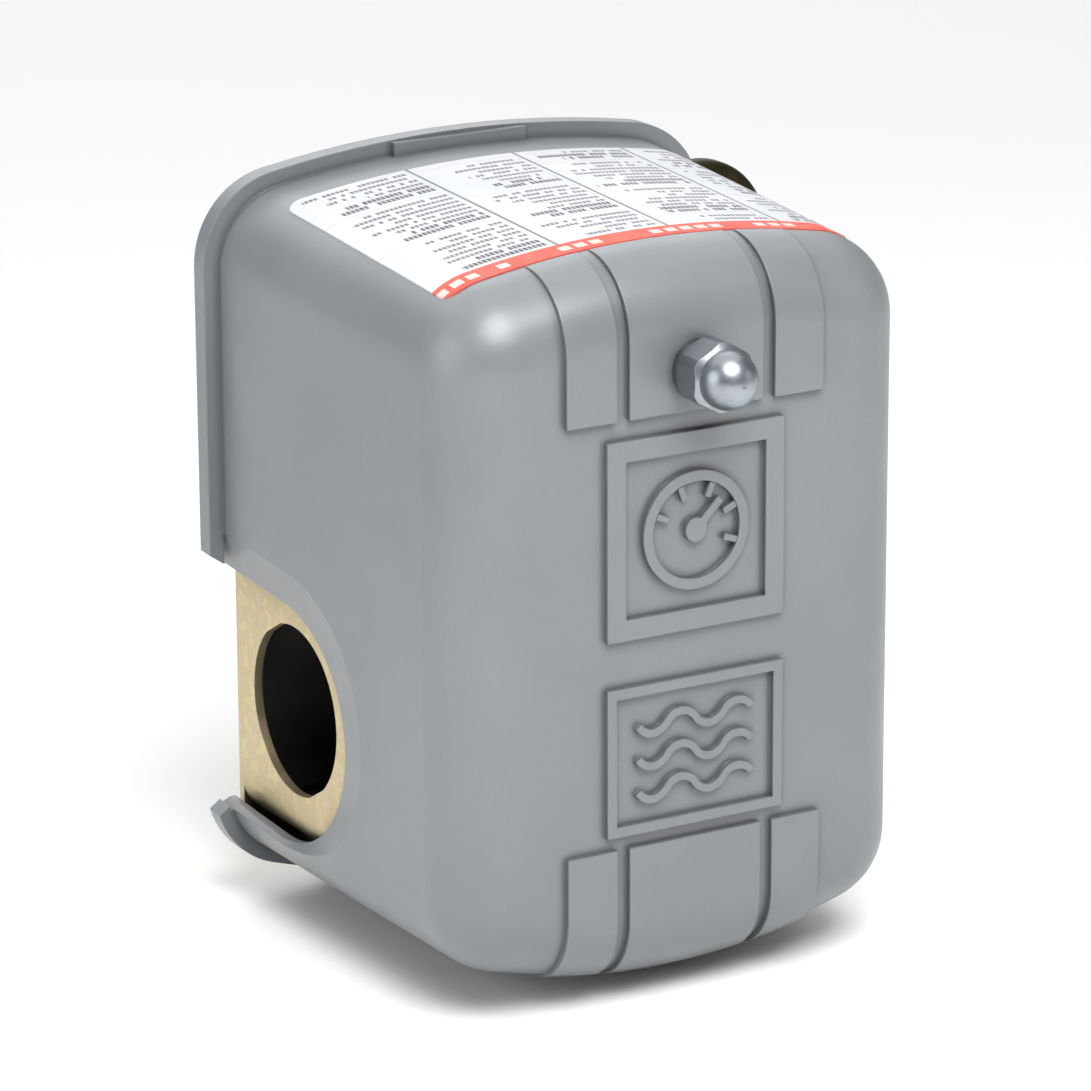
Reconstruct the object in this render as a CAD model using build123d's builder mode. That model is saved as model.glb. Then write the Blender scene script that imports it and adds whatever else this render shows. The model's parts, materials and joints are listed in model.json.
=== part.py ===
from build123d import *
from math import cos, radians, sqrt
import os

# Pressure switch for a well pump or a small compressor, in millimetres.
# It is held by its pipe thread, whose mouth is the origin. +Y runs out of the mouth, back along
# the pipe, and the cover's face looks along -Y. X is the width and Z the long side, +Z up.
# A height is counted from the base plate's front face towards -Y, so it is negative behind it.

# Driving dimensions
STANDOFF = 20.0  # pipe mouth to the base plate's front face
SHEET = 1.2  # steel sheet of the base frame
WALL = 1.9  # moulded wall of the cover
GAP = 0.1  # between faces of pieces that move apart

# Cover
COVER_HALF_WIDTH = 34.26
COVER_TOP = 47.87
COVER_BOTTOM = -46.0
SIDE_DRAFT = 0.040  # inward per mm of height; the bottom has none
TOP_DRAFT = 0.041
TOP_CROWN_RADIUS = 157.0
TOP_CROWN_TIGHTENING = 0.59  # loss of crown radius per mm of height
BOTTOM_CROWN_RADIUS = 90.0
CORNER_RADIUS = 10.2
RIM_CORNER_RADIUS = 11.6
COVER_DEPTH = 59.6
FRONT_ROUND = 9.4
RIM_OVERHANG = 1.9
RIM_DEPTH = 2.6
RIM_PAD_HALF_WIDTH = 9.5
RIM_PAD_DEPTH = 1.0
RIM_PAD_DROP = 0.5  # below the rim's edge
STUD_BOSS_RADIUS, STUD_BOSS_DEPTH = 5.6, 6.0
STUD_HOLE_RADIUS = 3.0
RELIEF = 0.8

# Raised mouldings on the cover's face
STRIP_END = 26.87
CENTRE_STRIP_HALF_WIDTH = 9.3
SIDE_STRIP_INNER = 11.0
SIDE_STRIP_OUTER = 17.9
STRIP_FADE_HEIGHT = 50.8
PANEL_WIDTH = 24.8
UPPER_PANEL_HEIGHT = 24.8
UPPER_PANEL_Z = 11.96
UPPER_PANEL_BAND = 2.6
LOWER_PANEL_HEIGHT = 18.8
LOWER_PANEL_Z = -15.8
LOWER_PANEL_BAND = 1.3
DIAL_RADIUS, DIAL_BAND = 7.4, 1.3
HUB_RADIUS = 1.5
TICK_RADIUS, TICK_LENGTH, TICK_WIDTH = 5.1, 1.8, 0.8
TICKS = 5
POINTER_LENGTH, POINTER_WIDTH = 4.8, 1.0
POINTER_OFFSET = 1.7  # of its middle from the hub, in X and Z
WAVE_PITCH = 4.2  # between rows
WAVE_LENGTH, WAVE_RISE, WAVE_WIDTH = 4.0, 1.1, 1.0
HALF_WAVES = 4

# Side openings and conduit holes
SLOT_RADIUS = 15.8
SLOT_HEIGHT = 13.8
SLOT_Z = -20.0
BEVEL_RADIUS = 18.8
BEVEL_HEIGHT = 17.0
BEVEL_Z = -18.0
BEVEL_DEPTH = 1.45
RIM_CUT_RADIUS = 16.2  # at the side wall
RIM_CUT_FLARE = 1.5  # more than that at the rim's outside
RIM_CUT_Z = -18.45
LEDGE_RISE = 0.11  # of the opening's lower edge, per mm towards the back
BROW_RISE = 0.09  # of its upper edge
CONDUIT_RADIUS = 11.1
CONDUIT_FLAT = 10.9  # centre to each of the two small flats
CONDUIT_FLAT_ANGLE = 60.0
CONDUIT_HEIGHT = 14.45
CONDUIT_Z = -18.9
EAR_X = 30.7  # outer face
EAR_HEIGHT = 19.3  # centre of its round end
EAR_Z = -18.6
EAR_ROUND = 18.0
EAR_BEND = 3.15
EAR_FOOT_X = 24.0  # inner end of each ear's foot
EAR_NOTCH_CLEARANCE = 0.8

# Mounting lug on the base frame's right side
LUG_X, LUG_Z = 37.4, 30.5
LUG_RADIUS = 10.2
LUG_BEAD = 2.1
LUG_BEAD_HEIGHT = 1.6
LUG_HOLE = 2.75

# Label
LABEL_THICKNESS = 0.15
LABEL_HALF_WIDTH = 28.3
LABEL_BACK, LABEL_FRONT = 9.5, 50.4
LABEL_CORNER = 2.0

# Pressure connection
THREAD_RADIUS = 5.55  # minor radius of a 1/4-18 pipe thread
THREAD_LENGTH = 11.0
BOSS_ACROSS_FLATS = 20.6
FLANGE_RADIUS = 22.0
FLANGE_THICKNESS = 3.5
DIAPHRAGM_THICKNESS = 1.0
GUIDE_THICKNESS = 4.0
PISTON_RADIUS = 11.0
PISTON_THICKNESS = 2.2
CHAMBER_DEPTH = 1.2
PORT_RADIUS = 2.5
STEM_RADIUS = 4.0
TIP_RADIUS = 8.5  # of the stem's rounded end
FLANGE_BOLT_RADIUS = 17.5
FLANGE_SCREW_RADIUS = 2.0
FLANGE_HEAD_ACROSS_FLATS, FLANGE_HEAD_HEIGHT = 7.0, 2.8
PLUNGER_TIP = 4.0

# Lever
LEVER_HALF_WIDTH = 13.0
LEVER_SHEET = 1.6
LEVER_BACK = 4.1
LEVER_LOW, LEVER_HIGH = -20.0, 40.2
LEVER_WALL_TOP = 10.7
LEVER_WALL_HIGH = 24.0
PIVOT_Z = -14.0
PIVOT_HEIGHT = 7.5
PIN_RADIUS = 1.6
PIN_FIT = 0.05  # radial clearance of a pin that turns in its hole
BRACKET_X = 16.2  # inner face of each pivot bracket
BRACKET_THICKNESS = 1.5
BRACKET_HALF = 4.0
BRACKET_ROOT = 0.5  # overlap with the plate
CLIP_RADIUS, CLIP_THICKNESS = 3.0, 0.7
UPRIGHT_Z = 5.2
UPRIGHT_HALF_WIDTH = 5.0
UPRIGHT_TOP = 38.0

# Range and differential adjusters
RANGE_Z = 32.1
RANGE_STUD_RADIUS = 2.38
RANGE_STUD_TOP = 66.0
RANGE_WASHER_HEIGHT = 38.0
DIFFERENTIAL_Z = 15.5
DIFFERENTIAL_STUD_RADIUS = 1.9
DIFFERENTIAL_STUD_TOP = 31.0
DIFFERENTIAL_WASHER_HEIGHT = 20.0
NUT_FIT = 0.04  # running clearance of a nut on its stud

# Acorn nut
NUT_ACROSS_FLATS = 7.94
NUT_HEX_CORNERS = 4.3
NUT_COLLAR_RADIUS = 3.5
NUT_COLLAR_HEIGHT = 0.9
NUT_HEX_HEIGHT = 5.3
DOME_RADIUS = 3.6
DOME_HEIGHT = 67.3  # centre of the dome

# Terminals and contacts
BLOCK_HALF_WIDTH = 18.0
BLOCK_LOW, BLOCK_HIGH = -38.0, -4.0
BLOCK_UNDERSIDE, BLOCK_TOP = 12.0, 30.0
FOOT_HALF_WIDTH = 14.0
FOOT_HIGH = -28.0
TERMINAL_X = (-13.0, -4.4, 4.4, 13.0)
TERMINAL_SCREW_Z = -33.0
TERMINAL_SCREW_RADIUS, TERMINAL_HOLE_RADIUS = 1.7, 1.8
TERMINAL_HEAD_RADIUS, TERMINAL_HEAD_HEIGHT = 3.0, 2.4
SCREW_BITE = 0.02  # radial play of a screw held in a threaded hole
PLATE_THICKNESS = 1.0
CLAMP_THICKNESS = 0.9
CLAMP_HALF = 3.2
SLOT_WIDTH = 0.9  # screwdriver slots
BLOCK_SCREW_X, BLOCK_SCREW_RADIUS = 11.0, 1.9
BLOCK_SCREW_LENGTH = 10.0
BLOCK_HEAD_RADIUS, BLOCK_HEAD_HEIGHT = 3.4, 2.0
GROUND_HEAD_ACROSS_FLATS, GROUND_HEAD_HEIGHT = 6.2, 2.6
GROUND_SCREW_X, GROUND_SCREW_Z = 24.4, -4.0
APRON_THICKNESS = 1.5
APRON_X = 28.4
APRON_LOW, APRON_HIGH = -34.4, -8.2
RIB_HALF_WIDTH, RIB_TOP = 0.6, 35.0
CONTACT_Z = -20.0
BRIDGE_X = (-8.7, 8.7)
CARRIER_Z = -8.0
CARRIER_HEIGHT = 35.0
CARRIER_HALF_WIDTH = 14.9
CARRIER_THICKNESS = 5.5
CARRIER_PIN_RADIUS = 1.2
CARRIER_PIN_INNER = 6.0
CARRIER_LUG_INNER, CARRIER_LUG_OUTER = 15.2, 17.2
HOOK_HALF_WIDTH = 1.5
HOOK_THICKNESS = 0.7
BUTTON_RADIUS = 1.8
BRIDGE_LENGTH, BRIDGE_WIDTH, BRIDGE_THICKNESS = 13.0, 5.0, 0.9
CONTACT_SPRING_TOP = 6.6  # above the bridge's underside

LEVER_TOP = LEVER_BACK + LEVER_SHEET
FRONT = COVER_DEPTH + RELIEF
FLANGE_BACK = -SHEET - GUIDE_THICKNESS - DIAPHRAGM_THICKNESS - FLANGE_THICKNESS

os.makedirs("parts", exist_ok=True)


def level(height):
    """The plane parallel to the base plate at a height; sketches on it use X and Z."""
    return Plane.XZ.offset(STANDOFF + height)


def side(x):
    """The plane across the width at x; sketches on it use Y and Z."""
    return Plane.YZ.offset(x)


def depth(height):
    """The Y coordinate of a height."""
    return -(STANDOFF + height)


def circles(height, radius, *centres):
    """Circles on a level, at the origin unless centres are given."""
    with BuildSketch(level(height)) as sketch:
        with Locations(*(centres or ((0, 0),))):
            Circle(radius)
    return sketch.sketch


def hexagons(height, across_flats, *centres):
    """Hexagons on a level, at the origin unless centres are given."""
    with BuildSketch(level(height)) as sketch:
        with Locations(*(centres or ((0, 0),))):
            RegularPolygon(across_flats / 2, 6, major_radius=False)
    return sketch.sketch


def block(x_range, z_range, height):
    """A rectangle on a level between two x values and two z values."""
    with BuildSketch(level(height)) as sketch:
        with Locations(((x_range[0] + x_range[1]) / 2, (z_range[0] + z_range[1]) / 2)):
            Rectangle(x_range[1] - x_range[0], z_range[1] - z_range[0])
    return sketch.sketch


def crown_drop(radius, half):
    """How far a crowned end falls from its middle to its side."""
    return radius - sqrt(radius**2 - half**2)


def outline(height, grow=0.0, corner=CORNER_RADIUS):
    """The cover's outline at a height: drafted sides and crowned ends with rounded corners."""
    half = COVER_HALF_WIDTH - SIDE_DRAFT * height + grow
    top = COVER_TOP - TOP_DRAFT * height + grow
    bottom = COVER_BOTTOM - grow
    top_side = top - crown_drop(TOP_CROWN_RADIUS - TOP_CROWN_TIGHTENING * height, half)
    bottom_side = bottom + crown_drop(BOTTOM_CROWN_RADIUS, half)
    with BuildSketch(level(height)) as sketch:
        with BuildLine():
            ThreePointArc((-half, top_side), (0, top), (half, top_side))
            Line((half, top_side), (half, bottom_side))
            ThreePointArc((half, bottom_side), (0, bottom), (-half, bottom_side))
            Line((-half, bottom_side), (-half, top_side))
        make_face()
        fillet(sketch.vertices(), radius=corner)
    return sketch.sketch


def cover_form(grow, top, edge_round):
    """The cover's drafted, front-rounded form as a full block."""
    corner = CORNER_RADIUS + grow
    with BuildPart() as form:
        loft(sections=[outline(GAP, grow, corner), outline(top, grow, corner)], ruled=True)
        fillet(form.faces().sort_by(Axis.Y)[0].edges(), radius=edge_round)
    return form.part


def wall_plane(direction, inset):
    """A plane along a drafted side wall, inset from its outside; sketches use height and Z."""
    lean = direction * SIDE_DRAFT
    start = (direction * (COVER_HALF_WIDTH - inset), depth(0), 0)
    return Plane(origin=start, x_dir=(-lean, -1, 0), z_dir=(-1, lean, 0))


def opening(plane, radius, height, z):
    """The U-shaped side opening on a wall plane, open at the back, its long edges rising."""
    back = -4 * WALL
    low_back = z - radius + LEDGE_RISE * (height - back)
    high_back = z + radius + BROW_RISE * (height - back)
    with BuildSketch(plane) as sketch:
        with BuildLine():
            Line((back, high_back), (height, z + radius))
            ThreePointArc((height, z + radius), (height + radius, z), (height, z - radius))
            Line((height, z - radius), (back, low_back))
            Line((back, low_back), (back, high_back))
        make_face()
    return sketch.sketch


def coil(mean_radius, wire_radius, turns, start, end):
    """A helical spring along Z from start to end, outside to outside."""
    rise = end - start - 2 * wire_radius
    with BuildPart() as spring:
        with BuildLine() as path:
            Helix(pitch=rise / turns, height=rise, radius=mean_radius)
        with BuildSketch(Plane(origin=path.line @ 0, z_dir=path.line % 0)):
            Circle(wire_radius)
        sweep(path=path.line, is_frenet=True)
    return Pos(0, 0, start + wire_radius) * spring.part


def standing(shape, x, z):
    """Turns a shape made along Z so that Z becomes height, and stands it at x and z."""
    return level(0).location * Pos(x, z, 0) * shape


def save(part, name):
    """Labels a finished piece and writes its file."""
    part.label = name
    export_step(part, f"parts/{name}.step")


# Cover: a drafted shell with a rim, raised strips and panels, and a side opening on each side
outer_form = cover_form(0, COVER_DEPTH, FRONT_ROUND)
inner_form = cover_form(-WALL, COVER_DEPTH - WALL, FRONT_ROUND - WALL)
raised_form = cover_form(0.15, FRONT, FRONT_ROUND)

with BuildPart() as strips:
    add(raised_form)
    strip_length = COVER_TOP
    with BuildSketch(level(STRIP_FADE_HEIGHT)):
        for direction in (1, -1):
            strip_middle = direction * (STRIP_END + strip_length / 2)
            with Locations((0, strip_middle)):
                Rectangle(2 * CENTRE_STRIP_HALF_WIDTH, strip_length)
            strip_x = (SIDE_STRIP_INNER + SIDE_STRIP_OUTER) / 2
            with Locations((strip_x, strip_middle), (-strip_x, strip_middle)):
                Rectangle(SIDE_STRIP_OUTER - SIDE_STRIP_INNER, strip_length)
    extrude(amount=FRONT - STRIP_FADE_HEIGHT + 1, mode=Mode.INTERSECT)

with BuildPart() as cover:
    add(outer_form)
    extrude(outline(GAP, RIM_OVERHANG, RIM_CORNER_RADIUS), amount=RIM_DEPTH)
    add(strips.part)
    # Pad in the middle of the rim's upper edge
    pad_z = (COVER_TOP - WALL, COVER_TOP + RIM_OVERHANG - RIM_PAD_DROP)
    pad = block((-RIM_PAD_HALF_WIDTH, RIM_PAD_HALF_WIDTH), pad_z, RIM_DEPTH)
    extrude(pad, amount=RIM_PAD_DEPTH)
    # Framed panels on the face
    for panel_z, panel_height, band in (
        (UPPER_PANEL_Z, UPPER_PANEL_HEIGHT, UPPER_PANEL_BAND),
        (LOWER_PANEL_Z, LOWER_PANEL_HEIGHT, LOWER_PANEL_BAND),
    ):
        with BuildSketch(level(COVER_DEPTH - RELIEF)):
            with Locations((0, panel_z)):
                Rectangle(PANEL_WIDTH, panel_height)
                Rectangle(PANEL_WIDTH - 2 * band, panel_height - 2 * band, mode=Mode.SUBTRACT)
        extrude(amount=2 * RELIEF)
    # Dial with a pointer in the upper panel
    with BuildSketch(level(COVER_DEPTH - RELIEF)):
        with Locations((0, UPPER_PANEL_Z)):
            Circle(DIAL_RADIUS)
            Circle(DIAL_RADIUS - DIAL_BAND, mode=Mode.SUBTRACT)
            Circle(HUB_RADIUS)
            with PolarLocations(TICK_RADIUS, TICKS, start_angle=-20, angular_range=220):
                Rectangle(TICK_LENGTH, TICK_WIDTH)
        with Locations((POINTER_OFFSET, UPPER_PANEL_Z + POINTER_OFFSET)):
            Rectangle(POINTER_LENGTH, POINTER_WIDTH, rotation=45)
    extrude(amount=2 * RELIEF)
    # Three waves in the lower panel
    with BuildSketch(level(COVER_DEPTH - RELIEF)):
        for row in (-1, 0, 1):
            wave_z = LOWER_PANEL_Z + row * WAVE_PITCH
            with BuildLine():
                for wave in range(HALF_WAVES):
                    start = (wave - HALF_WAVES / 2) * WAVE_LENGTH
                    crest = (start + WAVE_LENGTH / 2, wave_z + (-1) ** (wave + 1) * WAVE_RISE)
                    ThreePointArc((start, wave_z), crest, (start + WAVE_LENGTH, wave_z))
            trace(line_width=WAVE_WIDTH)
    extrude(amount=2 * RELIEF)
    # Hollow, with a boss round the stud's hole
    add(inner_form, mode=Mode.SUBTRACT)
    boss_back = COVER_DEPTH - WALL - STUD_BOSS_DEPTH
    stud_boss = circles(boss_back, STUD_BOSS_RADIUS, (0, RANGE_Z))
    extrude(stud_boss, amount=STUD_BOSS_DEPTH + 0.5)
    stud_hole = circles(0, STUD_HOLE_RADIUS, (0, RANGE_Z))
    extrude(stud_hole, amount=FRONT + 1, mode=Mode.SUBTRACT)
    # Side openings with a bevelled edge
    slot_shape = (SLOT_RADIUS, SLOT_HEIGHT, SLOT_Z)
    bevel_shape = (BEVEL_RADIUS, BEVEL_HEIGHT, BEVEL_Z)
    rim_cut_shape = (RIM_CUT_RADIUS, RIM_DEPTH, RIM_CUT_Z)
    rim_flare_shape = (RIM_CUT_RADIUS + RIM_CUT_FLARE, RIM_DEPTH, RIM_CUT_Z)
    for direction in (1, -1):
        through = opening(wall_plane(direction, 0), *slot_shape)
        extrude(through, amount=3 * WALL, both=True, mode=Mode.SUBTRACT)
        outer_edge = opening(wall_plane(direction, 0), *bevel_shape)
        inner_edge = opening(wall_plane(direction, BEVEL_DEPTH), *slot_shape)
        loft(sections=[outer_edge, inner_edge], ruled=True, mode=Mode.SUBTRACT)
        rim_cut = opening(wall_plane(direction, 0), *rim_cut_shape)
        rim_flare = opening(wall_plane(direction, -RIM_OVERHANG - 0.3), *rim_flare_shape)
        loft(sections=[rim_cut, rim_flare], ruled=True, mode=Mode.SUBTRACT)
save(cover.part, "cover")

# Label: a thin sheet on the cover's upper side
with BuildPart() as cover_label:
    add(cover_form(LABEL_THICKNESS, COVER_DEPTH, FRONT_ROUND))
    add(outer_form, mode=Mode.SUBTRACT)
    label_middle = depth((LABEL_BACK + LABEL_FRONT) / 2)
    with BuildSketch(Plane.XY):
        with Locations((0, label_middle)):
            RectangleRounded(2 * LABEL_HALF_WIDTH, LABEL_FRONT - LABEL_BACK, LABEL_CORNER)
    extrude(amount=2 * COVER_TOP, mode=Mode.INTERSECT)
save(cover_label.part, "cover_label")

# Acorn nut on the range stud, outside the cover
NUT_BACK = FRONT + 0.02
nut_middle = (0, RANGE_Z)
with BuildPart() as acorn_nut:
    # Hexagon with turned-off corners, flats to the left and right
    hex_back = NUT_BACK + NUT_COLLAR_HEIGHT
    extrude(circles(hex_back, NUT_HEX_CORNERS, nut_middle), amount=NUT_HEX_HEIGHT)
    chamfer(acorn_nut.edges().sort_by(Axis.Y)[-1], length=1.2)
    chamfer(acorn_nut.edges().sort_by(Axis.Y)[0], length=0.5, length2=0.7)
    with BuildSketch(level(hex_back)):
        with Locations(nut_middle):
            RegularPolygon(NUT_ACROSS_FLATS / 2, 6, major_radius=False, rotation=30)
    extrude(amount=NUT_HEX_HEIGHT, mode=Mode.INTERSECT)
    # Collar behind it and dome in front
    collar = circles(NUT_BACK, NUT_COLLAR_RADIUS, nut_middle)
    extrude(collar, amount=NUT_COLLAR_HEIGHT + 0.4)
    dome_back = DOME_HEIGHT - 0.5
    extrude(circles(dome_back, DOME_RADIUS, nut_middle), amount=DOME_HEIGHT - dome_back)
    dome = Pos(0, 0, DOME_HEIGHT) * Sphere(DOME_RADIUS, mode=Mode.PRIVATE)
    add(standing(dome, 0, RANGE_Z))
    bore_length = RANGE_STUD_TOP - NUT_BACK + 0.5
    bore_radius = RANGE_STUD_RADIUS + NUT_FIT
    extrude(circles(NUT_BACK, bore_radius, nut_middle), amount=bore_length, mode=Mode.SUBTRACT)
save(acorn_nut.part, "acorn_nut")

# Base frame: a plate under the cover's rim, two bent ears, two pivot brackets and a lug
with BuildPart() as ears:
    with BuildSketch(level(-SHEET)):
        for direction in (1, -1):
            middle = direction * (EAR_X - SHEET / 2)
            low = EAR_Z - EAR_ROUND + SHEET / 2
            corner = (middle, low)
            with BuildLine():
                FilletPolyline(
                    (middle, EAR_Z + EAR_ROUND),
                    corner,
                    (direction * EAR_FOOT_X, low),
                    radius=EAR_BEND,
                )
            trace(line_width=SHEET)
    extrude(amount=EAR_HEIGHT + EAR_ROUND + SHEET)
    with BuildSketch(side(0)):
        with Locations((depth(EAR_HEIGHT), EAR_Z)):
            Circle(EAR_ROUND)
        with Locations((depth((EAR_HEIGHT - SHEET) / 2), EAR_Z)):
            Rectangle(EAR_HEIGHT + SHEET, 2 * EAR_ROUND)
    extrude(amount=EAR_X + 1, both=True, mode=Mode.INTERSECT)
    with BuildSketch(side(0)):
        with Locations((depth(CONDUIT_HEIGHT), CONDUIT_Z)):
            Circle(CONDUIT_RADIUS)
            across, along = 2 * CONDUIT_FLAT, 3 * CONDUIT_RADIUS
            Rectangle(across, along, rotation=CONDUIT_FLAT_ANGLE, mode=Mode.INTERSECT)
    extrude(amount=EAR_X + 1, both=True, mode=Mode.SUBTRACT)

with BuildPart() as lug_bead:
    lug_middle = (LUG_X, LUG_Z)
    extrude(circles(-0.2, LUG_RADIUS, lug_middle), amount=LUG_BEAD_HEIGHT + 0.2)
    fillet(lug_bead.faces().sort_by(Axis.Y)[0].edges(), radius=LUG_BEAD_HEIGHT)
    inside = circles(-0.2, LUG_RADIUS - LUG_BEAD, lug_middle)
    extrude(inside, amount=LUG_BEAD_HEIGHT + 0.2, mode=Mode.SUBTRACT)
    clear_x = COVER_HALF_WIDTH + RIM_OVERHANG + 0.5
    bead_space = block((clear_x, LUG_X + 20), (0, 2 * LUG_Z), -0.2)
    extrude(bead_space, amount=LUG_BEAD_HEIGHT + 0.2, mode=Mode.INTERSECT)

with BuildPart() as base_frame:
    extrude(outline(-SHEET, -0.6, CORNER_RADIUS - 0.6), amount=SHEET)
    for direction in (1, -1):
        notch_x = sorted((direction * EAR_X, direction * (EAR_X + 5)))
        notch_half = EAR_ROUND + EAR_NOTCH_CLEARANCE
        notch_z = (EAR_Z - notch_half, EAR_Z + notch_half)
        extrude(block(notch_x, notch_z, -SHEET), amount=SHEET, mode=Mode.SUBTRACT)
        bracket_outer = direction * (BRACKET_X + BRACKET_THICKNESS)
        bracket_x = sorted((direction * BRACKET_X, bracket_outer))
        bracket = block(bracket_x, (PIVOT_Z - BRACKET_HALF, PIVOT_Z + BRACKET_HALF), -BRACKET_ROOT)
        extrude(bracket, amount=PIVOT_HEIGHT + BRACKET_HALF - BRACKET_ROOT)
    add(ears.part)
    # Lug with a raised bead along its free edge and a screw hole
    extrude(circles(-SHEET, LUG_RADIUS, (LUG_X, LUG_Z)), amount=SHEET)
    lug_z = (LUG_Z - 0.8 * LUG_RADIUS, LUG_Z + 0.8 * LUG_RADIUS)
    extrude(block((LUG_X - 10, LUG_X - 5), lug_z, -SHEET), amount=SHEET)
    add(lug_bead.part)
    # Holes
    grounds = [(-GROUND_SCREW_X, GROUND_SCREW_Z), (GROUND_SCREW_X, GROUND_SCREW_Z)]
    extrude(circles(-SHEET, LUG_HOLE, (LUG_X, LUG_Z)), amount=SHEET, mode=Mode.SUBTRACT)
    block_bolts = [(-BLOCK_SCREW_X, TERMINAL_SCREW_Z), (BLOCK_SCREW_X, TERMINAL_SCREW_Z)]
    flange_bolts = [
        (x * FLANGE_BOLT_RADIUS * cos(radians(45)), z * FLANGE_BOLT_RADIUS * cos(radians(45)))
        for x in (1, -1)
        for z in (1, -1)
    ]
    for radius, centres in (
        (STEM_RADIUS + GAP, [(0, 0)]),
        (RANGE_STUD_RADIUS + SCREW_BITE, [(0, RANGE_Z)]),
        (DIFFERENTIAL_STUD_RADIUS + SCREW_BITE, [(0, DIFFERENTIAL_Z)]),
        (FLANGE_SCREW_RADIUS + SCREW_BITE, flange_bolts),
        (BLOCK_SCREW_RADIUS + 2 * GAP, block_bolts),
        (TERMINAL_SCREW_RADIUS + SCREW_BITE, grounds),
    ):
        extrude(circles(-SHEET, radius, *centres), amount=SHEET, mode=Mode.SUBTRACT)
    with BuildSketch(side(0)):
        with Locations((depth(PIVOT_HEIGHT), PIVOT_Z)):
            Circle(PIN_RADIUS + PIN_FIT)
    extrude(amount=BRACKET_X + 4, both=True, mode=Mode.SUBTRACT)
save(base_frame.part, "base_frame")

# Pressure housing behind the plate: guide, diaphragm, flange with the threaded boss, screws
guide_back = -SHEET - GUIDE_THICKNESS
diaphragm_back = guide_back - DIAPHRAGM_THICKNESS
screw_hole = FLANGE_SCREW_RADIUS + GAP
with BuildPart() as plunger_guide:
    extrude(circles(guide_back, FLANGE_RADIUS), amount=GUIDE_THICKNESS)
    chamfer(plunger_guide.edges().filter_by(GeomType.CIRCLE), length=0.4)
    bore = circles(guide_back, PISTON_RADIUS + 0.3)
    extrude(bore, amount=GUIDE_THICKNESS, mode=Mode.SUBTRACT)
    holes = circles(guide_back, screw_hole, *flange_bolts)
    extrude(holes, amount=GUIDE_THICKNESS, mode=Mode.SUBTRACT)
save(plunger_guide.part, "plunger_guide")

with BuildPart() as diaphragm:
    extrude(circles(diaphragm_back, FLANGE_RADIUS - 0.3), amount=DIAPHRAGM_THICKNESS)
    holes = circles(diaphragm_back, screw_hole, *flange_bolts)
    extrude(holes, amount=DIAPHRAGM_THICKNESS, mode=Mode.SUBTRACT)
save(diaphragm.part, "diaphragm")

with BuildPart() as pressure_flange:
    extrude(circles(FLANGE_BACK, FLANGE_RADIUS), amount=FLANGE_THICKNESS)
    chamfer(pressure_flange.edges().filter_by(GeomType.CIRCLE), length=0.6)
    extrude(hexagons(-STANDOFF, BOSS_ACROSS_FLATS), amount=STANDOFF + FLANGE_BACK)
    mouth = pressure_flange.faces().sort_by(Axis.Y)[-1]
    chamfer(mouth.edges(), length=0.8)
    thread = circles(-STANDOFF, THREAD_RADIUS)
    extrude(thread, amount=THREAD_LENGTH, mode=Mode.SUBTRACT)
    extrude(circles(-STANDOFF, PORT_RADIUS), amount=STANDOFF, mode=Mode.SUBTRACT)
    chamber = circles(diaphragm_back - CHAMBER_DEPTH, PISTON_RADIUS)
    extrude(chamber, amount=CHAMBER_DEPTH, mode=Mode.SUBTRACT)
    holes = circles(FLANGE_BACK, screw_hole, *flange_bolts)
    extrude(holes, amount=FLANGE_THICKNESS, mode=Mode.SUBTRACT)
save(pressure_flange.part, "pressure_flange")

with BuildPart() as flange_screws:
    heads_back = FLANGE_BACK - FLANGE_HEAD_HEIGHT
    heads = hexagons(heads_back, FLANGE_HEAD_ACROSS_FLATS, *flange_bolts)
    extrude(heads, amount=FLANGE_HEAD_HEIGHT)
    chamfer(flange_screws.faces().sort_by(Axis.Y)[-4:].edges(), length=0.4)
    shanks = circles(FLANGE_BACK, FLANGE_SCREW_RADIUS, *flange_bolts)
    extrude(shanks, amount=-FLANGE_BACK - 0.2)
save(flange_screws.part, "flange_screws")

piston_back = guide_back + GAP
with BuildPart() as plunger:
    extrude(circles(piston_back, PISTON_RADIUS), amount=PISTON_THICKNESS)
    chamfer(plunger.edges(), length=0.4)
    extrude(circles(piston_back, STEM_RADIUS), amount=PLUNGER_TIP - piston_back - 1.0)
    tip = Pos(0, 0, PLUNGER_TIP - TIP_RADIUS) * Sphere(TIP_RADIUS, mode=Mode.PRIVATE)
    stem = Pos(0, 0, PLUNGER_TIP - 2.5) * Cylinder(STEM_RADIUS, 5, mode=Mode.PRIVATE)
    add(standing(tip & stem, 0, 0))
save(plunger.part, "plunger")

# Lever: a channel that pivots on the brackets, with an upright for the toggle spring
with BuildPart() as lever:
    half = LEVER_HALF_WIDTH
    extrude(block((-half, half), (LEVER_LOW, LEVER_HIGH), LEVER_BACK), amount=LEVER_SHEET)
    for direction in (1, -1):
        wall_x = sorted((direction * half, direction * (half - LEVER_SHEET)))
        wall = block(wall_x, (LEVER_LOW, LEVER_WALL_HIGH), LEVER_BACK)
        extrude(wall, amount=LEVER_WALL_TOP - LEVER_BACK)
    fillet(lever.edges().filter_by(Axis.Y).group_by(Axis.Z)[-1], radius=4)
    upright_x = (-UPRIGHT_HALF_WIDTH, UPRIGHT_HALF_WIDTH)
    upright = block(upright_x, (UPRIGHT_Z, UPRIGHT_Z + LEVER_SHEET), LEVER_BACK)
    extrude(upright, amount=UPRIGHT_TOP - LEVER_BACK)
    with BuildSketch(side(0)):
        with Locations((depth(PIVOT_HEIGHT), PIVOT_Z)):
            Circle(PIN_RADIUS + PIN_FIT)
    extrude(amount=half + 1, both=True, mode=Mode.SUBTRACT)
    for radius, z in ((4.4, RANGE_Z), (3.0, DIFFERENTIAL_Z)):
        extrude(circles(0, radius, (0, z)), amount=LEVER_TOP + 1, mode=Mode.SUBTRACT)
save(lever.part, "lever")

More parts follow.
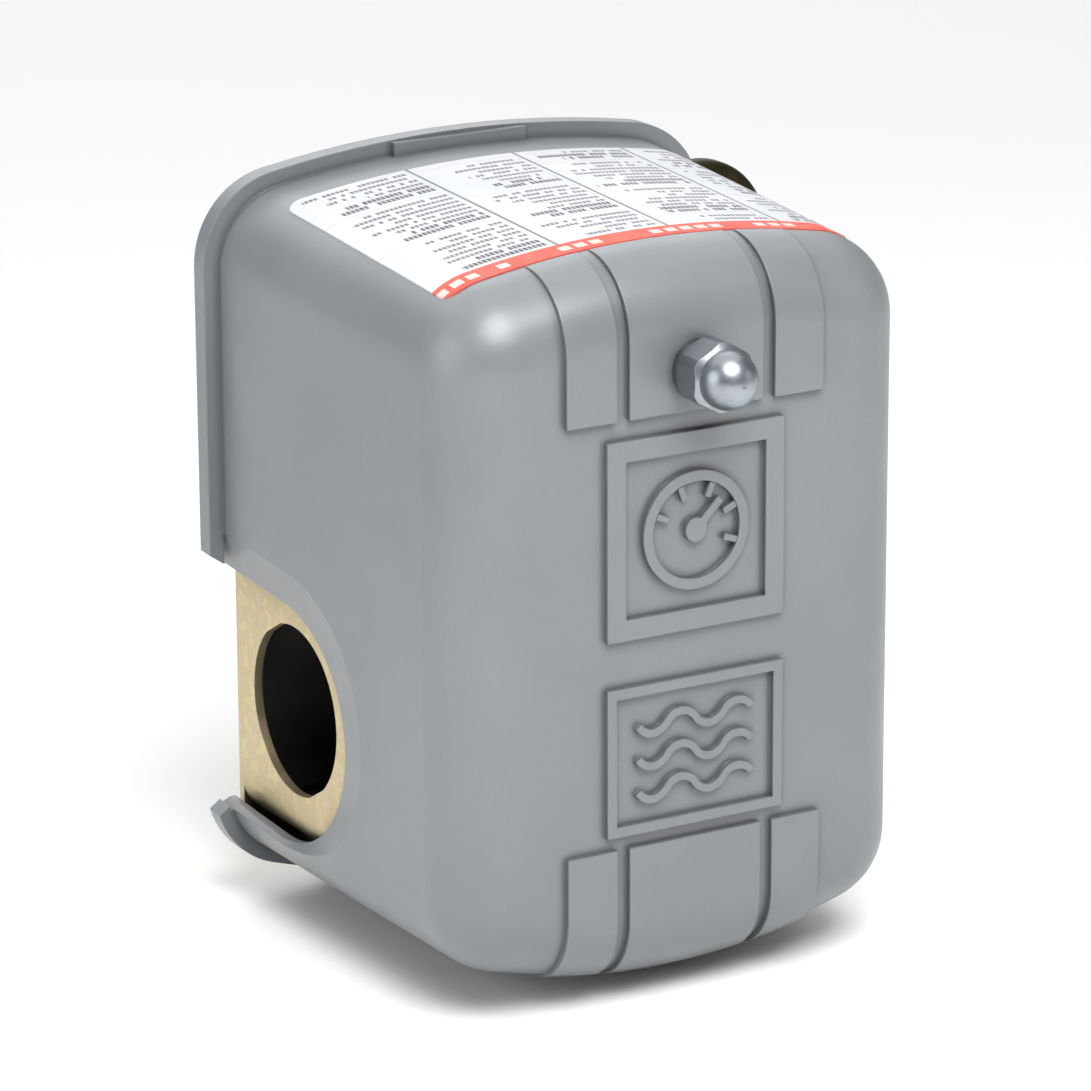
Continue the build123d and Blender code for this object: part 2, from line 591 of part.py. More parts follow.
with BuildPart() as pivot_pin:
    pin_half = BRACKET_X + 3.0
    with BuildSketch(side(-pin_half)):
        with Locations((depth(PIVOT_HEIGHT), PIVOT_Z)):
            Circle(PIN_RADIUS)
    extrude(amount=2 * pin_half)
    chamfer(pivot_pin.edges().filter_by(GeomType.CIRCLE), length=0.25)
save(pivot_pin.part, "pivot_pin")

with BuildPart() as pin_clips:
    for direction in (1, -1):
        with BuildSketch(side(direction * (BRACKET_X + BRACKET_THICKNESS + GAP))):
            with Locations((depth(PIVOT_HEIGHT), PIVOT_Z)):
                Circle(CLIP_RADIUS)
                Circle(PIN_RADIUS + 0.01, mode=Mode.SUBTRACT)
            with Locations((depth(PIVOT_HEIGHT), PIVOT_Z + CLIP_RADIUS)):
                Rectangle(2.0, 4.0, mode=Mode.SUBTRACT)
        extrude(amount=direction * CLIP_THICKNESS)
save(pin_clips.part, "pin_clips")


def stud(radius, bottom, top, z):
    """A plain stud with a chamfered tip."""
    with BuildPart() as post:
        extrude(circles(bottom, radius, (0, z)), amount=top - bottom)
        chamfer(post.faces().sort_by(Axis.Y)[0].edges(), length=0.5)
    return post.part


def washer(radius, bore, start, thickness, z):
    """A flat washer on a level."""
    with BuildPart() as ring:
        extrude(circles(start, radius, (0, z)), amount=thickness)
        chamfer(ring.edges(), length=0.25)
        extrude(circles(start, bore, (0, z)), amount=thickness, mode=Mode.SUBTRACT)
    return ring.part


def hex_nut(across_flats, bore, start, thickness, z):
    """A hexagon nut with chamfered corners."""
    with BuildPart() as nut:
        extrude(hexagons(start, across_flats, (0, z)), amount=thickness)
        chamfer(nut.faces().filter_by(Axis.Y).edges(), length=0.4)
        extrude(circles(start, bore, (0, z)), amount=thickness, mode=Mode.SUBTRACT)
    return nut.part


# Range adjuster: stud, lock nut, seat, large spring, washer and nut
with BuildPart() as range_stud:
    add(stud(RANGE_STUD_RADIUS, -SHEET, RANGE_STUD_TOP, RANGE_Z))
    extrude(circles(-SHEET - 1.7, 5.0, (0, RANGE_Z)), amount=1.7)
    fillet(range_stud.faces().sort_by(Axis.Y)[-1].edges(), radius=0.8)
save(range_stud.part, "range_stud")

range_nut_bore = RANGE_STUD_RADIUS + NUT_FIT
save(hex_nut(9.5, range_nut_bore, 0, 3.4, RANGE_Z), "stud_lock_nut")

with BuildPart() as spring_seat:
    add(washer(8.0, 4.4, LEVER_TOP, 1.6, RANGE_Z))
    add(washer(5.6, 4.4, LEVER_TOP + 1.2, 2.6, RANGE_Z))
save(spring_seat.part, "spring_seat")

range_spring = coil(6.8, 0.95, 6.5, LEVER_TOP + 1.65, RANGE_WASHER_HEIGHT - 0.05)
save(standing(range_spring, 0, RANGE_Z), "range_spring")

with BuildPart() as range_washer:
    add(washer(8.0, 2.7, RANGE_WASHER_HEIGHT, 1.5, RANGE_Z))
    add(washer(5.6, 2.7, RANGE_WASHER_HEIGHT - 1.5, 1.9, RANGE_Z))
save(range_washer.part, "range_washer")
range_nut = hex_nut(11.0, range_nut_bore, RANGE_WASHER_HEIGHT + 1.55, 5.0, RANGE_Z)
save(range_nut, "range_nut")

# Differential adjuster: the same on a smaller stud, which is screwed into the plate
with BuildPart() as differential_stud:
    stud_radius = DIFFERENTIAL_STUD_RADIUS
    add(stud(stud_radius, -SHEET + 0.2, DIFFERENTIAL_STUD_TOP, DIFFERENTIAL_Z))
    extrude(circles(0, 2.8, (0, DIFFERENTIAL_Z)), amount=1.2)
save(differential_stud.part, "differential_stud")
save(washer(5.6, 3.0, LEVER_TOP, 1.0, DIFFERENTIAL_Z), "differential_seat")
differential_spring = coil(4.2, 0.6, 6.0, LEVER_TOP + 1.05, DIFFERENTIAL_WASHER_HEIGHT - 0.05)
save(standing(differential_spring, 0, DIFFERENTIAL_Z), "differential_spring")
washer_height = DIFFERENTIAL_WASHER_HEIGHT
save(washer(5.6, 2.1, washer_height, 1.0, DIFFERENTIAL_Z), "differential_washer")
differential_bore = DIFFERENTIAL_STUD_RADIUS + NUT_FIT
differential_nut = hex_nut(8.0, differential_bore, washer_height + 1.05, 4.0, DIFFERENTIAL_Z)
save(differential_nut, "differential_nut")

# Terminal block: a foot, an overhanging body with ribs, and two lugs for the carrier's pins
with BuildPart() as terminal_block:
    with BuildSketch(level(BLOCK_UNDERSIDE)):
        with Locations((0, (BLOCK_LOW + BLOCK_HIGH) / 2)):
            Rectangle(2 * BLOCK_HALF_WIDTH, BLOCK_HIGH - BLOCK_LOW)
    extrude(amount=BLOCK_TOP - BLOCK_UNDERSIDE)
    fillet(terminal_block.edges().filter_by(Axis.Y), radius=1.5)
    foot = block((-FOOT_HALF_WIDTH, FOOT_HALF_WIDTH), (BLOCK_LOW, FOOT_HIGH), 0)
    extrude(foot, amount=BLOCK_UNDERSIDE)
    # Thin aprons over the plate on both sides, behind the conduit holes
    for direction in (1, -1):
        apron_x = sorted((direction * (FOOT_HALF_WIDTH - 1), direction * APRON_X))
        extrude(block(apron_x, (APRON_LOW, APRON_HIGH), 0), amount=APRON_THICKNESS)
        slot_outer = BRACKET_X + BRACKET_THICKNESS + 0.4
        slot_x = sorted((direction * (BRACKET_X - 0.4), direction * slot_outer))
        bracket_slot = block(slot_x, (PIVOT_Z - 4.4, PIVOT_Z + 6), 0)
        extrude(bracket_slot, amount=APRON_THICKNESS, mode=Mode.SUBTRACT)
    # Ribs between the terminals and along the ends
    for rib_x, rib_high in ((-17.4, -17.0), (-8.7, -25.5), (0, -17.5), (8.7, -25.5), (17.4, -17.0)):
        rib_sides = (rib_x - RIB_HALF_WIDTH, rib_x + RIB_HALF_WIDTH)
        rib = block(rib_sides, (BLOCK_LOW + 0.2, rib_high), BLOCK_TOP - 1)
        extrude(rib, amount=RIB_TOP - BLOCK_TOP + 1)
    # Lugs with the pin holes
    for direction in (1, -1):
        lug_x = sorted((direction * CARRIER_LUG_INNER, direction * CARRIER_LUG_OUTER))
        lug = block(lug_x, (CARRIER_Z - 3, CARRIER_Z + 3), BLOCK_TOP - 1)
        extrude(lug, amount=CARRIER_HEIGHT - BLOCK_TOP + 4)
    with BuildSketch(side(0)):
        with Locations((depth(CARRIER_HEIGHT), CARRIER_Z)):
            Circle(CARRIER_PIN_RADIUS + 0.01)
    extrude(amount=CARRIER_LUG_OUTER + 1, both=True, mode=Mode.SUBTRACT)
    # Screw holes from both sides
    terminals = [(x, TERMINAL_SCREW_Z) for x in TERMINAL_X]
    screw_holes = circles(BLOCK_TOP - 6.5, TERMINAL_SCREW_RADIUS + SCREW_BITE, *terminals)
    extrude(screw_holes, amount=7, mode=Mode.SUBTRACT)
    bolt_holes = circles(0, BLOCK_SCREW_RADIUS + SCREW_BITE, *block_bolts)
    extrude(bolt_holes, amount=BLOCK_SCREW_LENGTH + 0.5, mode=Mode.SUBTRACT)
save(terminal_block.part, "terminal_block")

with BuildPart() as block_screws:
    head_back = -SHEET - BLOCK_HEAD_HEIGHT
    extrude(circles(head_back, BLOCK_HEAD_RADIUS, *block_bolts), amount=BLOCK_HEAD_HEIGHT)
    fillet(block_screws.faces().sort_by(Axis.Y)[-2:].edges(), radius=0.9)
    shanks = circles(-SHEET, BLOCK_SCREW_RADIUS, *block_bolts)
    extrude(shanks, amount=SHEET + BLOCK_SCREW_LENGTH)
    with BuildSketch(level(head_back)):
        with Locations(*block_bolts):
            Rectangle(2 * BLOCK_HEAD_RADIUS + 0.2, SLOT_WIDTH)
    extrude(amount=0.8, mode=Mode.SUBTRACT)
save(block_screws.part, "block_screws")

with BuildPart() as terminal_plates:
    for terminal_x in TERMINAL_X:
        plate = block((terminal_x - 3.3, terminal_x + 3.3), (-37.0, -17.6), BLOCK_TOP)
        extrude(plate, amount=PLATE_THICKNESS)
    holes = circles(BLOCK_TOP, TERMINAL_HOLE_RADIUS, *terminals)
    extrude(holes, amount=PLATE_THICKNESS, mode=Mode.SUBTRACT)
save(terminal_plates.part, "terminal_plates")

with BuildPart() as terminal_clamps:
    for terminal_x in TERMINAL_X:
        clamp_x = (terminal_x - CLAMP_HALF, terminal_x + CLAMP_HALF)
        clamp_z = (TERMINAL_SCREW_Z - CLAMP_HALF, TERMINAL_SCREW_Z + CLAMP_HALF)
        extrude(block(clamp_x, clamp_z, BLOCK_TOP + PLATE_THICKNESS), amount=CLAMP_THICKNESS)
    holes = circles(BLOCK_TOP + PLATE_THICKNESS, TERMINAL_HOLE_RADIUS, *terminals)
    extrude(holes, amount=CLAMP_THICKNESS, mode=Mode.SUBTRACT)
save(terminal_clamps.part, "terminal_clamps")

with BuildPart() as terminal_screws:
    head = BLOCK_TOP + PLATE_THICKNESS + CLAMP_THICKNESS
    extrude(circles(head, TERMINAL_HEAD_RADIUS, *terminals), amount=TERMINAL_HEAD_HEIGHT)
    fillet(terminal_screws.faces().sort_by(Axis.Y)[:4].edges(), radius=0.7)
    extrude(circles(head - 7.5, TERMINAL_SCREW_RADIUS, *terminals), amount=7.5)
    with BuildSketch(level(head + TERMINAL_HEAD_HEIGHT - 1)):
        with Locations(*terminals):
            Rectangle(SLOT_WIDTH, 2 * TERMINAL_HEAD_RADIUS + 1)
    extrude(amount=2, mode=Mode.SUBTRACT)
save(terminal_screws.part, "terminal_screws")

with BuildPart() as ground_screws:
    ground_heads = hexagons(0, GROUND_HEAD_ACROSS_FLATS, *grounds)
    extrude(ground_heads, amount=GROUND_HEAD_HEIGHT)
    chamfer(ground_screws.faces().sort_by(Axis.Y)[:2].edges(), length=0.3)
    extrude(circles(-SHEET - 1.5, TERMINAL_SCREW_RADIUS, *grounds), amount=SHEET + 1.5)
    with BuildSketch(level(GROUND_HEAD_HEIGHT - 1)):
        with Locations(*grounds):
            Rectangle(8, SLOT_WIDTH)
    extrude(amount=2, mode=Mode.SUBTRACT)
save(ground_screws.part, "ground_screws")

# Contacts: fixed buttons on the terminal plates, and buttons on two bridges that the carrier lifts
with BuildPart() as fixed_contacts:
    rivets = [(x, CONTACT_Z) for x in TERMINAL_X]
    rivet_back = BLOCK_TOP + PLATE_THICKNESS
    extrude(circles(rivet_back, BUTTON_RADIUS + GAP, *rivets), amount=1.0)
    fillet(fixed_contacts.faces().sort_by(Axis.Y)[:4].edges(), radius=0.3)
save(fixed_contacts.part, "fixed_contacts")

BUTTON_HEIGHT = BLOCK_TOP + 2.05
BRIDGE_HEIGHT = BUTTON_HEIGHT + 0.95
with BuildPart() as moving_contacts:
    buttons = circles(BUTTON_HEIGHT, BUTTON_RADIUS, *rivets)
    extrude(buttons, amount=BRIDGE_HEIGHT - BUTTON_HEIGHT)
    fillet(moving_contacts.faces().sort_by(Axis.Y)[-4:].edges(), radius=0.3)
save(moving_contacts.part, "moving_contacts")

with BuildPart() as contact_bridges:
    with BuildSketch(level(BRIDGE_HEIGHT)):
        with Locations(*[(x, CONTACT_Z) for x in BRIDGE_X]):
            RectangleRounded(BRIDGE_LENGTH, BRIDGE_WIDTH, 1.5)
    extrude(amount=BRIDGE_THICKNESS)
save(contact_bridges.part, "contact_bridges")

spring_low = BRIDGE_HEIGHT + BRIDGE_THICKNESS + GAP / 2
contact_spring = coil(1.7, 0.3, 5.0, spring_low, BRIDGE_HEIGHT + CONTACT_SPRING_TOP)
springs = [standing(contact_spring, x, CONTACT_Z) for x in BRIDGE_X]
save(Compound(children=springs), "contact_springs")

CARRIER_BACK = BRIDGE_HEIGHT + 2.5
with BuildPart() as contact_carrier:
    carrier_x = (-CARRIER_HALF_WIDTH, CARRIER_HALF_WIDTH)
    extrude(block(carrier_x, (-24.0, CARRIER_Z), CARRIER_BACK), amount=CARRIER_THICKNESS)
    fillet(contact_carrier.edges().filter_by(Axis.X).group_by(Axis.Z)[0], radius=1.2)
    for direction in (1, -1):
        with BuildSketch(side(direction * 5)):
            with Locations((depth(CARRIER_HEIGHT), CARRIER_Z)):
                Circle(2.8)
            with Locations((depth(CARRIER_HEIGHT + 2.5), CARRIER_Z - 1.5)):
                Rectangle(5, 3)
        extrude(amount=direction * (CARRIER_HALF_WIDTH - 5))
    # Hooks that carry the bridges
    for bridge_x in BRIDGE_X:
        hook_x = (bridge_x - HOOK_HALF_WIDTH, bridge_x + HOOK_HALF_WIDTH)
        hook_back = BRIDGE_HEIGHT - HOOK_THICKNESS - GAP / 2
        extrude(block(hook_x, (-23.8, -22.8), hook_back), amount=4)
        spring_hole = circles(0, 2.5, (bridge_x, CONTACT_Z))
        hole_depth = BRIDGE_HEIGHT + CONTACT_SPRING_TOP
        extrude(spring_hole, amount=hole_depth, mode=Mode.SUBTRACT)
        extrude(block(hook_x, (-23.8, -21.5), hook_back), amount=HOOK_THICKNESS)
    # Slot for the toggle spring, and the pin holes
    slot_part = block((-3.2, 3.2), (-15.6, 0), 0)
    extrude(slot_part, amount=FRONT, mode=Mode.SUBTRACT)
    with BuildSketch(side(0)):
        with Locations((depth(CARRIER_HEIGHT), CARRIER_Z)):
            Circle(CARRIER_PIN_RADIUS + PIN_FIT)
    extrude(amount=CARRIER_HALF_WIDTH + 1, both=True, mode=Mode.SUBTRACT)
save(contact_carrier.part, "contact_carrier")

with BuildPart() as carrier_pins:
    for direction in (1, -1):
        with BuildSketch(side(direction * CARRIER_PIN_INNER)):
            with Locations((depth(CARRIER_HEIGHT), CARRIER_Z)):
                Circle(CARRIER_PIN_RADIUS)
        extrude(amount=direction * (CARRIER_LUG_OUTER - CARRIER_PIN_INNER))
save(carrier_pins.part, "carrier_pins")

toggle_spring = coil(1.9, 0.35, 9.0, -15.5, UPRIGHT_Z - 0.1)
save(Pos(0, depth(CARRIER_HEIGHT), 0) * toggle_spring, "toggle_spring")
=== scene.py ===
import json
import math

import bmesh
import bpy
from mathutils import Matrix, Vector


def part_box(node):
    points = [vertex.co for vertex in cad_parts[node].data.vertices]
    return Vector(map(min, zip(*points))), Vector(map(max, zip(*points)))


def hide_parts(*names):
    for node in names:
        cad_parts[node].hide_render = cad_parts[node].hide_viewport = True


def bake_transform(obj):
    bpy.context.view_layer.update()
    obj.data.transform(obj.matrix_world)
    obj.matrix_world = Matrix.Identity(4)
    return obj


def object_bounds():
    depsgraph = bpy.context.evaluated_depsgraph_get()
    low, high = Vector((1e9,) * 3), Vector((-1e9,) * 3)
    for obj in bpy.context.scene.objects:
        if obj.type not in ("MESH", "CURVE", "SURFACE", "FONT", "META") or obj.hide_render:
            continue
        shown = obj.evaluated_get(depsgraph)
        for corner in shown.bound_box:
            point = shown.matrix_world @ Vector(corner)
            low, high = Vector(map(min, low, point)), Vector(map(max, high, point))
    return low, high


# Looks of a pressure switch: moulded grey cover with a printed label, plated steel and brass.
# Metres, in the row frame: +Y is behind the switch, -Y is the side of the cover's face, +Z is up.

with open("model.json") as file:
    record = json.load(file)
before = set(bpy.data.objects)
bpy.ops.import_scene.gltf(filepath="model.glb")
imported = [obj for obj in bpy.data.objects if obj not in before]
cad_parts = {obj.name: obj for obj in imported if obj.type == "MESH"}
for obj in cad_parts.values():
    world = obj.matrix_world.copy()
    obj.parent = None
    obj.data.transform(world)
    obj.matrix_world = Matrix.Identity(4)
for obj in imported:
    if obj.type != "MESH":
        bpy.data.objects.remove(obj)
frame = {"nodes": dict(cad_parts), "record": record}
nodes = frame["nodes"]
cad_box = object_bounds()

MM = 0.001
label_low, label_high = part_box("cover_label")
cover_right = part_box("cover")[1].x
frame_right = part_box("base_frame")[1].x
middle = (cad_box[0] + cad_box[1]) / 2

# Body paired with the springs' seat ends
LEVER_BODY = "lever"

# Lug of the base frame, which shows beyond the cover's right side
LUG_RADIUS = 10.2 * MM
LUG_Z = 30.5 * MM
LUG_BEAD = 2.3 * MM  # width of the rounded bead along its outline
BEAD_INSET = 2.0 * MM  # the bead is painted dark from this far inside the cover's side

# Label print: four columns of grey bars, in blocks of rows, and a coloured band in front
BAND = 3.5 * MM
BAND_BAR = 2.1 * MM  # pitch of the pale bars in the band
BAND_BAR_GAP = 0.3  # share of that pitch
BAND_BARS_OUT = 0.3  # share of the bars left out
BAND_BAR_SPAN = (0.30 * BAND, 0.72 * BAND)
DIVIDERS = (-11.2 * MM, 4.1 * MM, 20.0 * MM)
DIVIDER_HALF = 0.2 * MM
ROW = 1.5 * MM
ROWS_START = BAND + 0.5 * MM
BLOCK_ROWS = 9.0
HEAVY_ROWS = 1.5  # rows before this place in a block are heavy
GAP_ROW = 7.5  # rows beyond this place in a block are empty
BLOCK_SHIFT = 3.0  # rows from one column's blocks to the next column's
LIGHT_HALF = 0.26  # half the height of a light row's bars, as a share of the row
HEAVY_HALF = 0.36
RULE_HALF = 0.06
LIGHT_INK = 0.09
HEAVY_INK = 0.03
INK_BLUE = 0.015  # how much bluer than grey the ink is
SHORTEST = 0.55  # share of the column that the shortest rows fill
LETTER = 0.62 * MM
LETTER_GAP = 0.22  # share of a letter's pitch
SPACES = 0.16  # share of letters left out
SIDE_MARGIN = 0.8 * MM
BACK_MARGIN = 1.2 * MM
ROW_SEED = 3.0
BAR_SEED = 7.0
FILM = ((0.50, 0.51, 0.53), (0.56, 0.565, 0.57))
RED = ((0.64, 0.085, 0.06), (0.73, 0.115, 0.085))
PALE_BAR = (0.86, 0.62, 0.58)
RULE_GREY = (0.35, 0.35, 0.36)
DIVIDER_GREY = (0.17, 0.175, 0.18)

# Springs
RANGE_WIRE = 1.9 * MM
DIFFERENTIAL_WIRE = 1.2 * MM
SPRING_CUT = 0.6  # share of the way from the washer's end, where a spring is cut
WELD = 1e-7

# Floor and surround
FLOOR_HALF = 15.0
ROOM = 0.25  # brightness of the surround

# Camera
CAMERA_AT = Vector((-0.32940, -0.61100, 0.20220))
CAMERA_YAW = 30.173  # degrees from looking along +Y towards +X
CAMERA_PITCH = 17.105  # degrees down
CAMERA_ROLL = -0.269
LENS = 180.2
SENSOR = 36.0
NEAREST = 0.05
FARTHEST = 20.0

# Sockets of a Mix node that mixes colours
MIX_FACTOR = 0
MIX_COLORS = (6, 7)
MIX_RESULT = 2

# Shading
NOISE_LOW = 0.3  # noise mostly lies between these two
NOISE_HIGH = 0.7
BEVEL_SAMPLES = 6
EDGE_GAIN = 4.0  # brings a sharp edge's mask up to 1
CREASE_SAMPLES = 8
CREASE_GAIN = 1.6  # the same for creases


def scaled(color, factor):
    """A colour made darker, or brighter up to white."""
    return tuple(min(1.0, factor * channel) for channel in color)


def spread(colors, start, end):
    """Ramp stops for colours at even steps from start to end."""
    step = (end - start) / (len(colors) - 1)
    return [(start + i * step, color) for i, color in enumerate(colors)]


def placed(name, data):
    """A new object, linked to the scene."""
    made = bpy.data.objects.new(name, data)
    bpy.context.scene.collection.objects.link(made)
    return made


class Surface:
    """A node material with short ways to make and link nodes."""

    def __init__(self, name, metallic=0.0, roughness=0.5, specular=0.5):
        self.material = bpy.data.materials.new(name)
        self.material.use_nodes = True
        self.tree = self.material.node_tree
        self.shader = self.tree.nodes["Principled BSDF"]
        self.shader.inputs["Metallic"].default_value = metallic
        self.shader.inputs["Roughness"].default_value = roughness
        self.shader.inputs["Specular IOR Level"].default_value = specular
        coordinates = self.tree.nodes.new("ShaderNodeTexCoord")
        self.place = coordinates.outputs["Object"]

    def link(self, value, socket):
        """Links a socket, or sets a plain value."""
        if isinstance(value, bpy.types.NodeSocket):
            self.tree.links.new(value, socket)
        else:
            socket.default_value = value

    def math(self, operation, a, b=0.0, clamp=False):
        node = self.tree.nodes.new("ShaderNodeMath")
        node.operation = operation
        node.use_clamp = clamp
        self.link(a, node.inputs[0])
        self.link(b, node.inputs[1])
        return node.outputs[0]

    def all_of(self, *masks):
        """1 where every mask is 1."""
        result = masks[0]
        for mask in masks[1:]:
            result = self.math("MULTIPLY", result, mask)
        return result

    def any_of(self, *masks):
        """1 where any mask is 1."""
        result = masks[0]
        for mask in masks[1:]:
            result = self.math("MAXIMUM", result, mask)
        return result

    def axes(self):
        """The object's coordinates, one by one."""
        node = self.tree.nodes.new("ShaderNodeSeparateXYZ")
        self.link(self.place, node.inputs[0])
        return node.outputs

    def vector(self, x, y, z=0.0):
        node = self.tree.nodes.new("ShaderNodeCombineXYZ")
        for value, socket in zip((x, y, z), node.inputs):
            self.link(value, socket)
        return node.outputs[0]

    def stretched(self, x, y, z):
        """The object's coordinates, scaled along each axis."""
        node = self.tree.nodes.new("ShaderNodeMapping")
        self.link(self.place, node.inputs["Vector"])
        node.inputs["Scale"].default_value = (x, y, z)
        return node.outputs[0]

    def noise(self, size, detail=3.0, place=None, distortion=0.0):
        """Noise with features about size metres wide."""
        node = self.tree.nodes.new("ShaderNodeTexNoise")
        self.link(place or self.place, node.inputs["Vector"])
        node.inputs["Scale"].default_value = 1 / size
        node.inputs["Detail"].default_value = detail
        node.inputs["Distortion"].default_value = distortion
        return node.outputs["Fac"]

    def random(self, place):
        """A random number for each whole place."""
        node = self.tree.nodes.new("ShaderNodeTexWhiteNoise")
        node.noise_dimensions = "3D"
        self.link(place, node.inputs["Vector"])
        return node.outputs["Value"]

    def cells(self, size):
        """Distance to the nearest of scattered points about size metres apart."""
        node = self.tree.nodes.new("ShaderNodeTexVoronoi")
        self.link(self.place, node.inputs["Vector"])
        node.inputs["Scale"].default_value = 1 / size
        return node.outputs["Distance"]

    def ramp(self, value, *stops):
        """Maps 0 to 1 onto colours or greys."""
        node = self.tree.nodes.new("ShaderNodeValToRGB")
        self.link(value, node.inputs["Fac"])
        elements = node.color_ramp.elements
        while len(elements) < len(stops):
            elements.new(0.5)
        for element, (position, color) in zip(elements, stops):
            element.position = position
            grey = not hasattr(color, "__len__")
            element.color = (color, color, color, 1) if grey else (*color, 1)
        return node.outputs["Color"]

    def between(self, noise, low, high):
        """From one colour or grey to another, over the range that noise mostly has."""
        return self.ramp(noise, (NOISE_LOW, low), (NOISE_HIGH, high))

    def mix(self, factor, a, b):
        node = self.tree.nodes.new("ShaderNodeMix")
        node.data_type = "RGBA"
        self.link(factor, node.inputs[MIX_FACTOR])
        for value, socket in zip((a, b), MIX_COLORS):
            is_socket = isinstance(value, bpy.types.NodeSocket)
            self.link(value if is_socket else (*value, 1), node.inputs[socket])
        return node.outputs[MIX_RESULT]

    def tint(self, color, other, mask, strength):
        """The colour, turned towards another where the mask is 1."""
        return self.mix(self.math("MULTIPLY", mask, strength), color, other)

    def rounded(self, radius):
        """(normal, mask): sharp edges shaded as rounded, and where they are."""
        bevel = self.tree.nodes.new("ShaderNodeBevel")
        bevel.samples = BEVEL_SAMPLES
        bevel.inputs["Radius"].default_value = radius
        geometry = self.tree.nodes.new("ShaderNodeNewGeometry")
        dot = self.tree.nodes.new("ShaderNodeVectorMath")
        dot.operation = "DOT_PRODUCT"
        self.link(bevel.outputs[0], dot.inputs[0])
        self.link(geometry.outputs["Normal"], dot.inputs[1])
        turned = self.math("SUBTRACT", 1.0, dot.outputs["Value"])
        return bevel.outputs[0], self.math("MULTIPLY", turned, EDGE_GAIN, clamp=True)

    def creases(self, reach):
        """1 in creases narrower than reach, 0 on open faces."""
        node = self.tree.nodes.new("ShaderNodeAmbientOcclusion")
        node.samples = CREASE_SAMPLES
        node.inputs["Distance"].default_value = reach
        shut = self.math("SUBTRACT", 1.0, node.outputs["AO"])
        return self.math("MULTIPLY", shut, CREASE_GAIN, clamp=True)

    def bump(self, height, depth, strength=1.0, normal=None):
        node = self.tree.nodes.new("ShaderNodeBump")
        node.inputs["Strength"].default_value = strength
        node.inputs["Distance"].default_value = depth
        self.link(height, node.inputs["Height"])
        if normal is not None:
            self.link(normal, node.inputs["Normal"])
        return node.outputs["Normal"]

    def finish(self, color, roughness=None, normal=None):
        """Links the shader and returns the material."""
        self.link(color, self.shader.inputs["Base Color"])
        if roughness is not None:
            self.link(roughness, self.shader.inputs["Roughness"])
        if normal is not None:
            self.link(normal, self.shader.inputs["Normal"])
        return self.material


def moulded(name, dark, light, roughness, edge_radius):
    """Moulded plastic: slow colour drift, fine grain, soft edges that catch light, a painted
    highlight on the edges and painted shade in creases.
    """
    s = Surface(name, specular=0.8)
    normal, edge = s.rounded(edge_radius)
    drift = s.noise(28 * MM, detail=2.0, distortion=0.6)
    fleck = s.noise(0.5 * MM, detail=2.0)
    tone = s.math("ADD", s.math("MULTIPLY", drift, 0.7), s.math("MULTIPLY", fleck, 0.3))
    color = s.between(tone, dark, light)
    # Painted highlight: sharp edges are tinted lighter, as if they caught the light.
    color = s.tint(color, scaled(light, 1.22), edge, strength=0.55)
    # Painted shade: creases up to 1.1 mm wide, and more faintly hollows up to 6 mm wide, are
    # turned towards a near-black grey.
    painted_shade = scaled(dark, 0.3)
    color = s.tint(color, painted_shade, s.creases(1.1 * MM), strength=0.85)
    color = s.tint(color, painted_shade, s.creases(6 * MM), strength=0.16)
    rough = s.between(s.noise(9 * MM, detail=4.0), roughness - 0.05, roughness + 0.06)
    grain = s.bump(s.noise(0.35 * MM), depth=0.012 * MM, strength=0.6, normal=normal)
    return s.finish(color, rough, grain)


def plated(
    name,
    colors,
    roughness,
    edge_radius,
    spots=6 * MM,
    metallic=1.0,
    bead=None,
    creasing=0.4,
    haze_range=(-0.07, 0.12),
):
    """Plated steel: a tint that wanders between colours, rolling marks and faint scratches, with a
    painted highlight on the edges and painted shade in creases.

    spots is the width of the tint's patches, bead masks where painted shade and dark reflection
    turn the plating dark bronze, creasing is how dark the painted shade in creases is, and
    haze_range is how far the roughness may differ.
    """
    s = Surface(name, metallic=metallic)
    normal, edge = s.rounded(edge_radius)
    wander = s.noise(spots, detail=5.0, distortion=0.3)
    color = s.ramp(wander, *spread(colors, 0.25, 0.75))
    # Painted highlight: sharp edges are tinted lighter.
    color = s.tint(color, scaled(colors[-1], 1.15), edge, strength=0.5)
    # Painted shade: hollows up to 9 mm wide are turned towards a dark tint.
    color = s.tint(color, scaled(colors[0], 0.3), s.creases(9 * MM), strength=creasing)
    # Painted shade and dark reflection: the lug's bead beyond the cover is turned dark bronze in
    # blotches.
    if bead is not None:
        blotches = s.noise(2.5 * MM, detail=4.0, distortion=0.5)
        painted_bead_shade = s.ramp(blotches, *spread(BEAD_SHADE, NOISE_LOW, NOISE_HIGH))
        color = s.mix(bead(s), color, painted_bead_shade)
    scratches = s.noise(0.35 * MM, detail=4.0, place=s.stretched(1.0, 0.12, 0.12))
    haze = s.math("ADD", s.noise(2.2 * MM, detail=4.0), s.math("MULTIPLY", scratches, 0.5))
    clear, dull = haze_range
    rough = s.ramp(haze, (0.45, roughness + clear), (1.0, roughness + dull))
    return s.finish(color, rough, s.bump(scratches, 0.006 * MM, strength=0.5, normal=normal))


def on_lug_bead(s):
    """1 on the lug's rounded bead, outside a circle round the lug's middle."""
    x, _, z = s.axes()
    across = s.math("POWER", s.math("SUBTRACT", x, frame_right - LUG_RADIUS), 2.0)
    along = s.math("POWER", s.math("SUBTRACT", z, LUG_Z), 2.0)
    outside = s.math("SQRT", s.math("ADD", across, along))
    ring = s.math("GREATER_THAN", outside, LUG_RADIUS - LUG_BEAD)
    beyond = s.math("GREATER_THAN", x, cover_right - BEAD_INSET)
    high = s.math("GREATER_THAN", z, 0.0)
    return s.all_of(ring, beyond, high)


